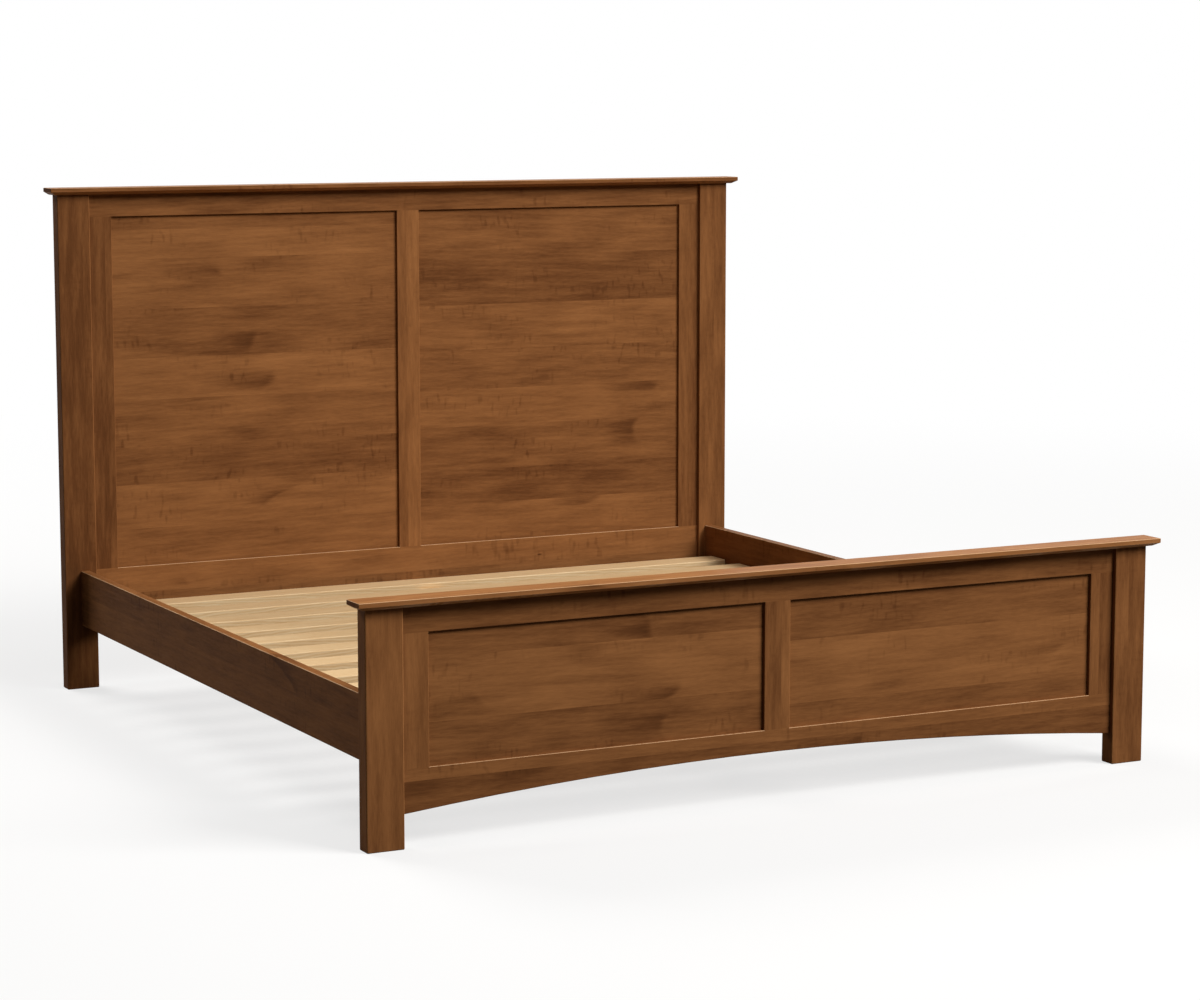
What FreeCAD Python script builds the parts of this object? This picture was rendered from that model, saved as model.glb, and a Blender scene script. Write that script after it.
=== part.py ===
import FreeCAD, Part
import os

# A panel bed frame in stained hardwood, in millimetres.
# X runs across the bed, +Y runs from the foot to the head, Z is up.
# The origin is on the floor, under the middle of the whole bed.

# Mattress that the frame is sized for, and the room round it
mattress_width = 1930.0
mattress_length = 2030.0
mattress_side_room = 6.0
mattress_end_room = 13.0

# Posts at the four corners
head_height = 1381.0
foot_height = 559.0
post_width = 90.0
post_depth = 44.0
post_edge_radius = 3.0

# Caps over the posts and the top rails: a square edge over a bevelled underside
cap_thickness = 19.0
cap_edge_height = 10.5
cap_bevel_width = 15.0
cap_overhang = 25.0
cap_edge_radius = 1.5

# Frame and panel fill between the posts
frame_setback = 12.0
frame_thickness = 22.0
frame_edge_radius = 1.5
rail_arris = 1.2
top_rail_height = 61.5
stile_width = 65.0
centre_stile_width = 68.0
foot_rail_height = 101.0
foot_arch_rise = 48.0
panel_recess = 9.0
panel_thickness = 6.0
groove_depth = 10.0
groove_room = 0.2
panel_edge_room = 2.0
tongue_end_room = 0.5

# Tenons of the frame's rails in the posts
tenon_thickness = 10.0
tenon_shoulder = 14.0
tenon_wall = 2.5
tenon_room = 0.2
tenon_end_room = 1.5

# Dowels between the caps and what they lie on
dowel_diameter = 8.0
dowel_length = 30.0
dowel_depth_in_cap = 12.0
dowel_room = 0.15
dowel_end_room = 1.0
dowels_on_top_rail = 5

# Side rails and the cleats inside them
side_rail_thickness = 25.0
side_rail_height = 152.0
side_rail_bottom = 177.0
side_rail_inset = 44.0
side_rail_edge_radius = 2.5
cleat_width = 25.0
cleat_height = 35.0
cleat_lift = 10.0
cleat_end_room = 12.0
cleat_edge_radius = 1.5

# Slats that lie across the cleats and the beam
slat_count = 12
slat_width = 89.0
slat_thickness = 19.0
slat_end_room = 3.0
slat_edge_radius = 3.0
slat_margin = 40.0

# Beam along the middle, and the steel angles that carry its ends
beam_width = 68.0
beam_height = 42.0
beam_edge_radius = 2.0
beam_end_room = 3.0
angle_width = 58.0
angle_thickness = 3.0
angle_shelf = 62.0
angle_height = 46.0
angle_bend_radius = 2.0
angle_screw_spread = 34.0
angle_screw_height = 29.0
angle_screw_reach = 42.0

# Legs under the beam, and the bolts that hold them to it
leg_count = 3
leg_width = 50.0
leg_edge_radius = 3.0
leg_bolt_diameter = 8.0
leg_bolt_in_leg = 36.0
leg_bolt_in_beam = 30.0
leg_bolt_room = 0.2
leg_bolt_end_room = 2.0

# Screw feet in the legs: a pad, a stem with a hexagon, and a threaded insert
foot_travel = 16.0
foot_stop_room = 2.0
pad_diameter = 40.0
pad_height = 9.0
pad_edge = 3.0
pad_socket_depth = 5.0
stem_diameter = 10.0
stem_room = 0.3
stem_length = 66.0
stem_tip = 1.5
hexagon_height = 6.0
hexagon_across_flats = 17.0
hexagon_gap = 1.0
insert_diameter = 14.0
insert_length = 25.0
insert_room = 0.2

# Hook plates on the side rails' ends, and slotted plates in the posts
plate_width = 18.0
plate_height = 124.0
plate_thickness = 2.5
plate_room = 0.2
hook_spacing = 70.0
hook_thickness = 4.0
hook_neck = 12.0
hook_drop = 10.0
hook_lip = 5.0
hook_room = 0.4
hook_tip = 2.0
slot_side_room = 0.5
slot_lift_room = 2.0
pocket_room = 3.0
plate_screw_spacing = 54.0

# Countersunk screws: diameter, head diameter, and length where each is used
screw_diameter = 4.0
screw_head_diameter = 8.0
screw_sink = 0.3
screw_room = 0.2
screw_end_room = 1.0
drive_width = 1.2
drive_span = 4.4
drive_depth = 1.6
plate_screw_length = 30.0
slat_screw_length = 40.0
cleat_screw_length = 43.0
angle_frame_screw_length = 18.0
angle_beam_screw_length = 30.0

# Places across the bed, from the middle out
rail_inner_x = mattress_width / 2 + mattress_side_room
rail_outer_x = rail_inner_x + side_rail_thickness
rail_middle_x = rail_inner_x + side_rail_thickness / 2
post_outer_x = rail_outer_x + side_rail_inset
post_inner_x = post_outer_x - post_width
cleat_inner_x = rail_inner_x - cleat_width
tenon_end_x = rail_middle_x - screw_diameter / 2 - screw_room - tenon_wall - tenon_end_room

# Places along the bed, from the front edge of the foot's cap to the back of the head's posts
side_rail_length = mattress_length + 2 * mattress_end_room
overall_length = cap_overhang + 2 * post_depth + side_rail_length
foot_front_y = -overall_length / 2 + cap_overhang
foot_back_y = foot_front_y + post_depth
head_front_y = foot_back_y + side_rail_length
beam_foot_y = foot_front_y + frame_setback + frame_thickness
beam_head_y = head_front_y + frame_setback

# Heights above the floor
side_rail_top = side_rail_bottom + side_rail_height
cleat_bottom = side_rail_bottom + cleat_lift
cleat_top = cleat_bottom + cleat_height
slat_top = cleat_top + slat_thickness
beam_bottom = cleat_top - beam_height
leg_bottom = pad_height + hexagon_gap + hexagon_height + foot_travel + foot_stop_room
hook_middle_z = side_rail_bottom + side_rail_height / 2

# Panel plane inside the frame, from the frame's face
groove_front = panel_recess - groove_room
groove_back = panel_recess + panel_thickness + groove_room

SIDES = {"left": -1, "right": 1}
X_AXIS = FreeCAD.Vector(1, 0, 0)
Y_AXIS = FreeCAD.Vector(0, 1, 0)
Z_AXIS = FreeCAD.Vector(0, 0, 1)
OPEN_END = 5.0


def box(x, y, z):
    """Box between two places on each axis, given as pairs in either order."""
    low = FreeCAD.Vector(min(x), min(y), min(z))
    return Part.makeBox(abs(x[1] - x[0]), abs(y[1] - y[0]), abs(z[1] - z[0]), low)


def edges_along(shape, axis):
    """Straight edges of a shape that run along an axis."""
    lines = [e for e in shape.Edges if isinstance(e.Curve, Part.Line)]
    return [e for e in lines if abs(abs(e.Curve.Direction.dot(axis)) - 1) < 1e-6]


def bar(x, y, z, axis, radius):
    """Box whose four edges along an axis are rounded over."""
    blank = box(x, y, z)
    return blank.makeFillet(radius, edges_along(blank, axis))


def cylinder(diameter, length, base, axis):
    """Cylinder that starts at a point and runs along an axis."""
    return Part.makeCylinder(diameter / 2, length, base, axis)


def prism(points, extrude):
    """Solid from a closed outline of straight sides."""
    return Part.Face(Part.makePolygon(points + points[:1])).extrude(extrude)


def spread(count, low, high):
    """Evenly spaced places from one end to the other."""
    return [low + (high - low) * i / (count - 1) for i in range(count)]


def turned(shape, place, axis):
    """Shape drawn along +Z at the origin, set at a place with its +Z along an axis."""
    moved = shape.copy()
    moved.Placement = FreeCAD.Placement(place, FreeCAD.Rotation(Z_AXIS, axis))
    return moved


def screw_body(length, room, above):
    """Countersunk screw below Z = 0, grown by a room all round and lengthened above its head."""
    shank = screw_diameter / 2 + room
    head = screw_head_diameter / 2 + room
    cone = head - shank
    shapes = [
        Part.makeCone(shank, head, cone, FreeCAD.Vector(0, 0, -cone)),
        cylinder(2 * shank, length, FreeCAD.Vector(0, 0, -length), Z_AXIS),
    ]
    if above:
        shapes.append(cylinder(2 * head, above, FreeCAD.Vector(), Z_AXIS))
    return shapes[0].multiFuse(shapes[1:]).removeSplitter()


def screw(length, place, outward):
    """Countersunk screw with a cross drive, its head just under a surface that faces outward."""
    body = screw_body(length, 0.0, 0.0)
    for long_x, long_y in ((drive_span, drive_width), (drive_width, drive_span)):
        sides = (-long_x / 2, long_x / 2), (-long_y / 2, long_y / 2)
        body = body.cut(box(*sides, (-drive_depth, OPEN_END)))
    return turned(body, place - outward * screw_sink, outward)


def screw_hole(length, place, outward):
    """Room for the screw of the same length at the same place."""
    room = screw_body(length + screw_end_room, screw_room, OPEN_END)
    return turned(room, place - outward * screw_sink, outward)


def cap_dowel_places(end):
    """Where the dowels stand under an end's cap: one in each post and a row in the top rail."""
    middle_y = end["face_y"] + frame_thickness / 2
    post_y = end["post_y"] + post_depth / 2
    post_x = post_outer_x - post_width / 2
    step = 2 * post_inner_x / (dowels_on_top_rail + 1)
    rail_x = [-post_inner_x + step * (i + 1) for i in range(dowels_on_top_rail)]
    places = [(-post_x, post_y), (post_x, post_y)] + [(x, middle_y) for x in rail_x]
    return [FreeCAD.Vector(x, y, end["cap_bottom"]) for x, y in places]


def cap_dowel(place):
    base = place + Z_AXIS * (dowel_depth_in_cap - dowel_length)
    return cylinder(dowel_diameter, dowel_length, base, Z_AXIS)


def cap_dowel_hole(place):
    base = place + Z_AXIS * (dowel_depth_in_cap - dowel_length - dowel_end_room)
    return cylinder(dowel_diameter + 2 * dowel_room, dowel_length + 2 * dowel_end_room, base, Z_AXIS)


def end_sizes(prefix, post_y, height, rail_bottom, rail_top, arch_rise):
    """Places that the pieces of the headboard or the footboard share."""
    cap_bottom = height - cap_thickness
    return {
        "prefix": prefix,
        "post_y": post_y,
        "face_y": post_y + frame_setback,
        "height": height,
        "cap_bottom": cap_bottom,
        "opening_top": cap_bottom - top_rail_height,
        "opening_bottom": rail_top,
        "rail_bottom": rail_bottom,
        "arch_rise": arch_rise,
    }


def tenons(end, bottom, top, room, end_room):
    """Tenon at each end of a frame rail, or its mortise with room added."""
    middle_y = end["face_y"] + frame_thickness / 2
    half = tenon_thickness / 2 + room
    depth = (middle_y - half, middle_y + half)
    height = (bottom + tenon_shoulder - room, top - tenon_shoulder + room)
    reach = tenon_end_x + end_room
    return [box((side * post_inner_x, side * reach), depth, height) for side in SIDES.values()]


def panel_plane(end):
    """How far the grooves reach through the frame."""
    return end["face_y"] + groove_front, end["face_y"] + groove_back


def frame_depth(end):
    """Front and back of the frame round the panels."""
    return end["face_y"], end["face_y"] + frame_thickness


def round_over(span, y, into_y, z, into_z):
    """What is taken off an edge along X to round it over, where the wood lies towards into_y and into_z."""
    centre = FreeCAD.Vector(min(span), y + into_y * frame_edge_radius, z + into_z * frame_edge_radius)
    square = box(span, (y - into_y * OPEN_END, centre.y), (z - into_z * OPEN_END, centre.z))
    return square.cut(cylinder(2 * frame_edge_radius, span[1] - span[0], centre, X_AXIS))


def opening_edges(end, z, into_z):
    """Cuts that round over a rail's front and back edges along both panel openings."""
    inner = centre_stile_width / 2 - frame_edge_radius
    outer = post_inner_x - stile_width + frame_edge_radius
    front, back = frame_depth(end)
    spans = (-outer, -inner), (inner, outer)
    faces = (front, 1), (back, -1)
    return [round_over(span, y, into_y, z, into_z) for span in spans for y, into_y in faces]


def top_rail(end):
    span = (-post_inner_x, post_inner_x)
    rail = box(span, frame_depth(end), (end["opening_top"], end["cap_bottom"]))
    rail = rail.fuse(tenons(end, end["opening_top"], end["cap_bottom"], 0.0, 0.0))
    groove = box(span, panel_plane(end), (end["opening_top"], end["opening_top"] + groove_depth))
    dowel_holes = [cap_dowel_hole(p) for p in cap_dowel_places(end)]
    return rail.cut([groove] + opening_edges(end, end["opening_top"], 1) + dowel_holes)


def bottom_rail_blank(end):
    """Bottom rail between the posts, with a shallow arch under it where the end has one."""
    left, right = -post_inner_x, post_inner_x
    y, low, high = end["face_y"], end["rail_bottom"], end["opening_bottom"]
    corners = [FreeCAD.Vector(x, y, z) for x, z in ((right, low), (right, high), (left, high), (left, low))]
    sides = [Part.LineSegment(a, b).toShape() for a, b in zip(corners, corners[1:])]
    if end["arch_rise"]:
        crown = FreeCAD.Vector(0, y, low + end["arch_rise"])
        sides.append(Part.Arc(corners[3], crown, corners[0]).toShape())
    else:
        sides.append(Part.LineSegment(corners[3], corners[0]).toShape())
    blank = Part.Face(Part.Wire(sides)).extrude(Y_AXIS * frame_thickness)
    under = [e for e in blank.Edges if e.Length > post_inner_x and e.CenterOfMass.z < blank.CenterOfMass.z]
    return blank.makeChamfer(rail_arris, under)


def bottom_rail(end):
    rail = bottom_rail_blank(end)
    rail = rail.fuse(tenons(end, end["rail_bottom"], end["opening_bottom"], 0.0, 0.0))
    span = (-post_inner_x, post_inner_x)
    groove = box(span, panel_plane(end), (end["opening_bottom"] - groove_depth, end["opening_bottom"]))
    rail = rail.cut([groove] + opening_edges(end, end["opening_bottom"], -1))
    return rail.cut(angle_frame_holes(end)) if end["prefix"] == "head" else rail


def stile(end, inner, outer, grooved):
    """Upright between the rails, with a tongue at each end and a groove for the panel in each named edge."""
    bottom, top = end["opening_bottom"], end["opening_top"]
    blank = box((inner, outer), frame_depth(end), (bottom, top))
    eased = [
        e for e in edges_along(blank, Z_AXIS)
        if min(abs(e.CenterOfMass.x - x) for x in grooved) < frame_edge_radius
    ]
    upright = blank.makeFillet(frame_edge_radius, eased)
    reach = groove_depth - tongue_end_room
    panel_y = (end["face_y"] + panel_recess, end["face_y"] + panel_recess + panel_thickness)
    tongue = box((inner, outer), panel_y, (bottom - reach, top + reach))
    height = (bottom - groove_depth, top + groove_depth)
    grooves = [box((x - groove_depth, x + groove_depth), panel_plane(end), height) for x in grooved]
    return upright.fuse(tongue).cut(grooves).removeSplitter()


def outer_stile(end, side):
    inner_edge = side * (post_inner_x - stile_width)
    return stile(end, inner_edge, side * post_inner_x, [inner_edge])


def centre_stile(end):
    edges = [-centre_stile_width / 2, centre_stile_width / 2]
    upright = stile(end, edges[0], edges[1], edges)
    return upright.cut(angle_frame_holes(end)) if end["prefix"] == "foot" else upright


def panel(end, side):
    """Flat panel that floats in the grooves round it."""
    reach = groove_depth - panel_edge_room
    inner = side * (centre_stile_width / 2 - reach)
    outer = side * (post_inner_x - stile_width + reach)
    y = end["face_y"] + panel_recess
    height = (end["opening_bottom"] - reach, end["opening_top"] + reach)
    return box((inner, outer), (y, y + panel_thickness), height)


def post(end, side):
    """Corner post with its eased edges, the frame's mortises and the bed for the slotted plate."""
    depth = (end["post_y"], end["post_y"] + post_depth)
    blank = box((side * post_inner_x, side * post_outer_x), depth, (0, end["cap_bottom"]))
    base = [e for e in blank.Edges if e.BoundBox.ZMax < post_edge_radius]
    upright = blank.makeFillet(post_edge_radius, edges_along(blank, Z_AXIS) + base)
    mortises = tenons(end, end["opening_top"], end["cap_bottom"], tenon_room, tenon_end_room)
    mortises += tenons(end, end["rail_bottom"], end["opening_bottom"], tenon_room, tenon_end_room)
    dowel_holes = [cap_dowel_hole(p) for p in cap_dowel_places(end)[:len(SIDES)]]
    return upright.cut(mortises + dowel_holes + post_plate_bed(end["prefix"], side))


def cap(end):
    """Cap with rounded arrises and a bevel under its front and its two ends, flush at the back."""
    half = post_outer_x + cap_overhang
    front, back = end["post_y"] - cap_overhang, end["post_y"] + post_depth
    bottom, top = end["cap_bottom"], end["height"]
    blank = box((-half, half), (front, back), (bottom, top))
    rim = [e for e in blank.Edges if e.BoundBox.ZMin > bottom + cap_edge_radius]
    board = blank.makeFillet(cap_edge_radius, rim + edges_along(blank, Z_AXIS))
    lip = top - cap_edge_height
    bevels = [prism([
        FreeCAD.Vector(-half, front, bottom),
        FreeCAD.Vector(-half, front + cap_bevel_width, bottom),
        FreeCAD.Vector(-half, front, lip),
    ], X_AXIS * 2 * half)]
    for side in SIDES.values():
        bevels.append(prism([
            FreeCAD.Vector(side * half, front, bottom),
            FreeCAD.Vector(side * (half - cap_bevel_width), front, bottom),
            FreeCAD.Vector(side * half, front, lip),
        ], Y_AXIS * (back - front)))
    return board.cut(bevels + [cap_dowel_hole(p) for p in cap_dowel_places(end)])


def end_parts(end):
    """Every piece of the headboard or the footboard, by node name."""
    prefix = end["prefix"]
    parts = {
        prefix + "_cap": cap(end),
        prefix + "_top_rail": top_rail(end),
        prefix + "_bottom_rail": bottom_rail(end),
        prefix + "_centre_stile": centre_stile(end),
    }
    for name, side in SIDES.items():
        parts[f"{prefix}_post_{name}"] = post(end, side)
        parts[f"{prefix}_stile_{name}"] = outer_stile(end, side)
        parts[f"{prefix}_panel_{name}"] = panel(end, side)
    return parts


def at_joint(shape, prefix, side):
    """Shape drawn at the origin with +Y into the post, set at one end of one side rail."""
    place = FreeCAD.Vector(side * rail_middle_x, head_front_y, hook_middle_z)
    if prefix == "foot":
        shape = shape.mirror(FreeCAD.Vector(), Y_AXIS)
        place.y = foot_back_y
    moved = shape.copy()
    moved.translate(place)
    return moved


def plate(depth):
    """Flat plate with square corners, between two places along Y."""
    return box((-plate_width / 2, plate_width / 2), depth, (-plate_height / 2, plate_height / 2))


def plate_screw_places(y):
    return [FreeCAD.Vector(0, y, i * plate_screw_spacing) for i in (-1, 0, 1)]


def hook_places():
    """Height of the underside of each hook's neck, from the plate's middle."""
    return [i * hook_spacing / 2 - hook_neck / 2 for i in (-1, 1)]


def hook_plate():
    """Plate on the rail's end with two hooks that drop behind the slotted plate."""
    whole = plate((-plate_thickness, 0))
    inner = plate_thickness + hook_room
    outer = inner + hook_lip
    for z in hook_places():
        tip = z - hook_drop
        outline = [
            (-plate_thickness, z), (-plate_thickness, z + hook_neck), (outer, z + hook_neck),
            (outer, tip + hook_tip), (outer - hook_tip, tip), (inner, tip), (inner, z),
        ]
        points = [FreeCAD.Vector(-hook_thickness / 2, y, height) for y, height in outline]
        whole = whole.fuse(prism(points, X_AXIS * hook_thickness))
    holes = [screw_hole(plate_screw_length, p, Y_AXIS) for p in plate_screw_places(0)]
    return whole.cut(holes).removeSplitter()


def slotted_plate():
    """Plate in the post's face with a slot for each hook."""
    half_slot = hook_thickness / 2 + slot_side_room
    slot_height = hook_drop + hook_neck + slot_lift_room
    cuts = [box((-half_slot, half_slot), (-OPEN_END, plate_thickness + OPEN_END), (z, z + slot_height))
            for z in hook_places()]
    cuts += [screw_hole(plate_screw_length, p, -Y_AXIS) for p in plate_screw_places(0)]
    return plate((0, plate_thickness)).cut(cuts)


def plate_recess(depth):
    """Room for a plate that is let in flush, between two places along Y."""
    half_width = plate_width / 2 + plate_room
    half_height = plate_height / 2 + plate_room
    return box((-half_width, half_width), depth, (-half_height, half_height))


def post_plate_bed(prefix, side):
    """Cuts in a post for its slotted plate, the hooks behind it and the screws."""
    cuts = [plate_recess((-OPEN_END, plate_thickness))]
    half_pocket = hook_thickness / 2 + slot_side_room
    depth = plate_thickness + hook_room + hook_lip + pocket_room
    for z in hook_places():
        low, high = z - hook_drop - pocket_room, z + hook_drop + hook_neck + slot_lift_room
        cuts.append(box((-half_pocket, half_pocket), (0, depth), (low, high)))
    cuts += [screw_hole(plate_screw_length, p, -Y_AXIS) for p in plate_screw_places(0)]
    return [at_joint(c, prefix, side) for c in cuts]


def side_rail(side):
    """Board between the posts, with its ends let in for the hook plates and pilot holes for the cleat."""
    length = (foot_back_y, head_front_y)
    height = (side_rail_bottom, side_rail_top)
    board = bar((side * rail_inner_x, side * rail_outer_x), length, height, Y_AXIS, side_rail_edge_radius)
    cuts = [plate_recess((-plate_thickness, OPEN_END))]
    cuts += [screw_hole(plate_screw_length, p, Y_AXIS) for p in plate_screw_places(0)]
    ends = [at_joint(c, prefix, side) for c in cuts for prefix in ("head", "foot")]
    return board.cut(ends + cleat_screw_holes(side))


def slat_places():
    """Middle of each slat along the bed."""
    first = foot_back_y + slat_margin + slat_width / 2
    last = head_front_y - slat_margin - slat_width / 2
    return spread(slat_count, first, last)


def slat_screw_places(side):
    x = side * (cleat_inner_x + cleat_width / 2)
    return [FreeCAD.Vector(x, y, slat_top) for y in slat_places()]


def cleat_screw_places(side):
    """Heads of the screws that hold a cleat, in every second gap between slats."""
    middles = slat_places()
    gaps = [(a + b) / 2 for a, b in zip(middles, middles[1:])]
    return [FreeCAD.Vector(side * cleat_inner_x, y, cleat_bottom + cleat_height / 2) for y in gaps[::2]]


def cleat_screw_holes(side):
    return [screw_hole(cleat_screw_length, p, X_AXIS * -side) for p in cleat_screw_places(side)]


def cleat(side):
    """Strip along the inside of a side rail that the slats lie on."""
    length = (foot_back_y + cleat_end_room, head_front_y - cleat_end_room)
    height = (cleat_bottom, cleat_top)
    strip = bar((side * cleat_inner_x, side * rail_inner_x), length, height, Y_AXIS, cleat_edge_radius)
    slat_holes = [screw_hole(slat_screw_length, p, Z_AXIS) for p in slat_screw_places(side)]
    return strip.cut(cleat_screw_holes(side) + slat_holes)


def slat(index):
    """One slat, with a countersunk hole over each cleat."""
    y = slat_places()[index]
    half = rail_inner_x - slat_end_room
    width = (y - slat_width / 2, y + slat_width / 2)
    board = bar((-half, half), width, (cleat_top, slat_top), X_AXIS, slat_edge_radius)
    places = [slat_screw_places(side)[index] for side in SIDES.values()]
    return board.cut([screw_hole(slat_screw_length, p, Z_AXIS) for p in places])


def angle_frame_screw_places(prefix):
    """Heads of the screws that hold an angle to the frame behind it, on the angle's upright."""
    y = beam_head_y - angle_thickness if prefix == "head" else beam_foot_y + angle_thickness
    z = beam_bottom - angle_thickness + angle_screw_height
    return [FreeCAD.Vector(x * angle_screw_spread / 2, y, z) for x in SIDES.values()]


def angle_beam_screw_places(prefix):
    """Heads of the screws that go up through an angle's shelf into the beam."""
    y = beam_head_y - angle_screw_reach if prefix == "head" else beam_foot_y + angle_screw_reach
    z = beam_bottom - angle_thickness
    return [FreeCAD.Vector(x * angle_screw_spread / 2, y, z) for x in SIDES.values()]


def angle_outward(prefix):
    """Way that the upright of an angle faces."""
    return -Y_AXIS if prefix == "head" else Y_AXIS


def angle_frame_holes(end):
    prefix = end["prefix"]
    places = angle_frame_screw_places(prefix)
    return [screw_hole(angle_frame_screw_length, p, angle_outward(prefix)) for p in places]


def angle_beam_holes(prefix):
    return [screw_hole(angle_beam_screw_length, p, -Z_AXIS) for p in angle_beam_screw_places(prefix)]


def beam_angle(end):
    """Bent steel angle: its upright is screwed to the frame, and the beam's end lies on its shelf."""
    prefix = end["prefix"]
    wall = beam_head_y if prefix == "head" else beam_foot_y
    into = angle_outward(prefix).y
    y, z = (wall, wall + into * angle_shelf), (beam_bottom - angle_thickness, beam_bottom)
    width = (-angle_width / 2, angle_width / 2)
    shelf = box(width, y, z)
    upright = box(width, (wall, wall + into * angle_thickness), (z[0], z[0] + angle_height))
    bent = shelf.fuse(upright).removeSplitter()
    inside = [e for e in edges_along(bent, X_AXIS)
              if abs(e.CenterOfMass.y - upright.BoundBox.Center.y) < angle_thickness
              and abs(e.CenterOfMass.z - z[1]) < angle_bend_radius / 2]
    bent = bent.makeFillet(angle_bend_radius, inside)
    outside = [e for e in edges_along(bent, X_AXIS)
               if abs(e.CenterOfMass.y - wall) < angle_bend_radius / 2
               and abs(e.CenterOfMass.z - z[0]) < angle_bend_radius / 2]
    bent = bent.makeFillet(angle_bend_radius + angle_thickness / 2, outside)
    return bent.cut(angle_frame_holes(end) + angle_beam_holes(prefix))


def leg_places():
    """Legs stand at even steps along the beam."""
    step = (beam_head_y - beam_foot_y) / (leg_count + 1)
    return [beam_foot_y + step * (i + 1) for i in range(leg_count)]


def leg_bolt(y, room, end_room):
    """Headless bolt between a leg and the beam, or its hole with room added."""
    base = FreeCAD.Vector(0, y, beam_bottom - leg_bolt_in_leg - end_room)
    length = leg_bolt_in_leg + leg_bolt_in_beam + 2 * end_room
    return cylinder(leg_bolt_diameter + 2 * room, length, base, Z_AXIS)


def centre_beam():
    gap = angle_thickness + beam_end_room
    length = (beam_foot_y + gap, beam_head_y - gap)
    width = (-beam_width / 2, beam_width / 2)
    beam = bar(width, length, (beam_bottom, cleat_top), Y_AXIS, beam_edge_radius)
    bolt_holes = [leg_bolt(y, leg_bolt_room, leg_bolt_end_room) for y in leg_places()]
    return beam.cut(bolt_holes + angle_beam_holes("head") + angle_beam_holes("foot"))


def centre_leg(y):
    """Square leg with a hole for its bolt above, and for the insert and the stem below."""
    half = leg_width / 2
    leg = bar((-half, half), (y - half, y + half), (leg_bottom, beam_bottom), Z_AXIS, leg_edge_radius)
    base = FreeCAD.Vector(0, y, leg_bottom)
    insert_hole = cylinder(insert_diameter + 2 * insert_room, insert_length, base, Z_AXIS)
    stem_top = pad_height - pad_socket_depth + stem_length + foot_travel + foot_stop_room
    stem_hole = cylinder(stem_diameter + 2 * stem_room, stem_top - leg_bottom, base, Z_AXIS)
    return leg.cut([leg_bolt(y, leg_bolt_room, leg_bolt_end_room), insert_hole, stem_hole])


def foot_insert(y):
    """Threaded sleeve in the leg's lower end that the stem runs in."""
    base = FreeCAD.Vector(0, y, leg_bottom)
    sleeve = cylinder(insert_diameter, insert_length, base, Z_AXIS)
    return sleeve.cut(cylinder(stem_diameter + 2 * stem_room, insert_length, base, Z_AXIS))


def foot_pad(y):
    """Round pad on the floor, with a socket for the stem's lower end."""
    centre = FreeCAD.Vector(0, y, 0)
    disc = cylinder(pad_diameter, pad_height, centre, Z_AXIS)
    rim = [e for e in disc.Edges if e.BoundBox.ZMin > pad_height / 2]
    disc = disc.makeFillet(pad_edge, rim)
    socket_floor = centre + Z_AXIS * (pad_height - pad_socket_depth)
    return disc.cut(cylinder(stem_diameter + 2 * stem_room, pad_socket_depth, socket_floor, Z_AXIS))


def foot_stem(y):
    """Screw stem from the pad's socket up into the leg, with a hexagon for a spanner."""
    base = FreeCAD.Vector(0, y, pad_height - pad_socket_depth)
    rod = cylinder(stem_diameter, stem_length, base, Z_AXIS)
    rod = rod.makeChamfer(stem_tip, [e for e in rod.Edges if e.BoundBox.ZMin > base.z + stem_length / 2])
    corner = FreeCAD.Vector(hexagon_across_flats / 3 ** 0.5, 0, 0)
    turns = [FreeCAD.Rotation(Z_AXIS, 60 * i) for i in range(6)]
    foot = FreeCAD.Vector(0, y, pad_height + hexagon_gap)
    hexagon = prism([foot + turn.multVec(corner) for turn in turns], Z_AXIS * hexagon_height)
    return rod.fuse(hexagon).removeSplitter()


def connector_screws(prefix, side):
    """Screws of one hook plate and of the slotted plate that faces it."""
    screws = [screw(plate_screw_length, p, Y_AXIS) for p in plate_screw_places(0)]
    screws += [screw(plate_screw_length, p, -Y_AXIS) for p in plate_screw_places(0)]
    return [at_joint(s, prefix, side) for s in screws]


def fastener_groups(ends):
    """Like fasteners, each kind as one group of separate solids."""
    kinds = ("slat_screws", "cleat_screws", "angle_screws", "connector_screws", "cap_dowels")
    groups = {kind: [] for kind in kinds}
    for side in SIDES.values():
        groups["slat_screws"] += [screw(slat_screw_length, p, Z_AXIS) for p in slat_screw_places(side)]
        groups["cleat_screws"] += [
            screw(cleat_screw_length, p, X_AXIS * -side) for p in cleat_screw_places(side)
        ]
    for end in ends:
        prefix = end["prefix"]
        outward = angle_outward(prefix)
        frame_places, beam_places = angle_frame_screw_places(prefix), angle_beam_screw_places(prefix)
        groups["angle_screws"] += [screw(angle_frame_screw_length, p, outward) for p in frame_places]
        groups["angle_screws"] += [screw(angle_beam_screw_length, p, -Z_AXIS) for p in beam_places]
        groups["cap_dowels"] += [cap_dowel(p) for p in cap_dowel_places(end)]
        sides = SIDES.values()
        groups["connector_screws"] += sum((connector_screws(prefix, side) for side in sides), [])
        groups[f"rail_hooks_{prefix}"] = [at_joint(hook_plate(), prefix, side) for side in sides]
        groups[f"post_plates_{prefix}"] = [at_joint(slotted_plate(), prefix, side) for side in sides]
    groups["leg_bolts"] = [leg_bolt(y, 0.0, 0.0) for y in leg_places()]
    groups["foot_inserts"] = [foot_insert(y) for y in leg_places()]
    return {name: Part.makeCompound(solids) for name, solids in groups.items()}


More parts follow.
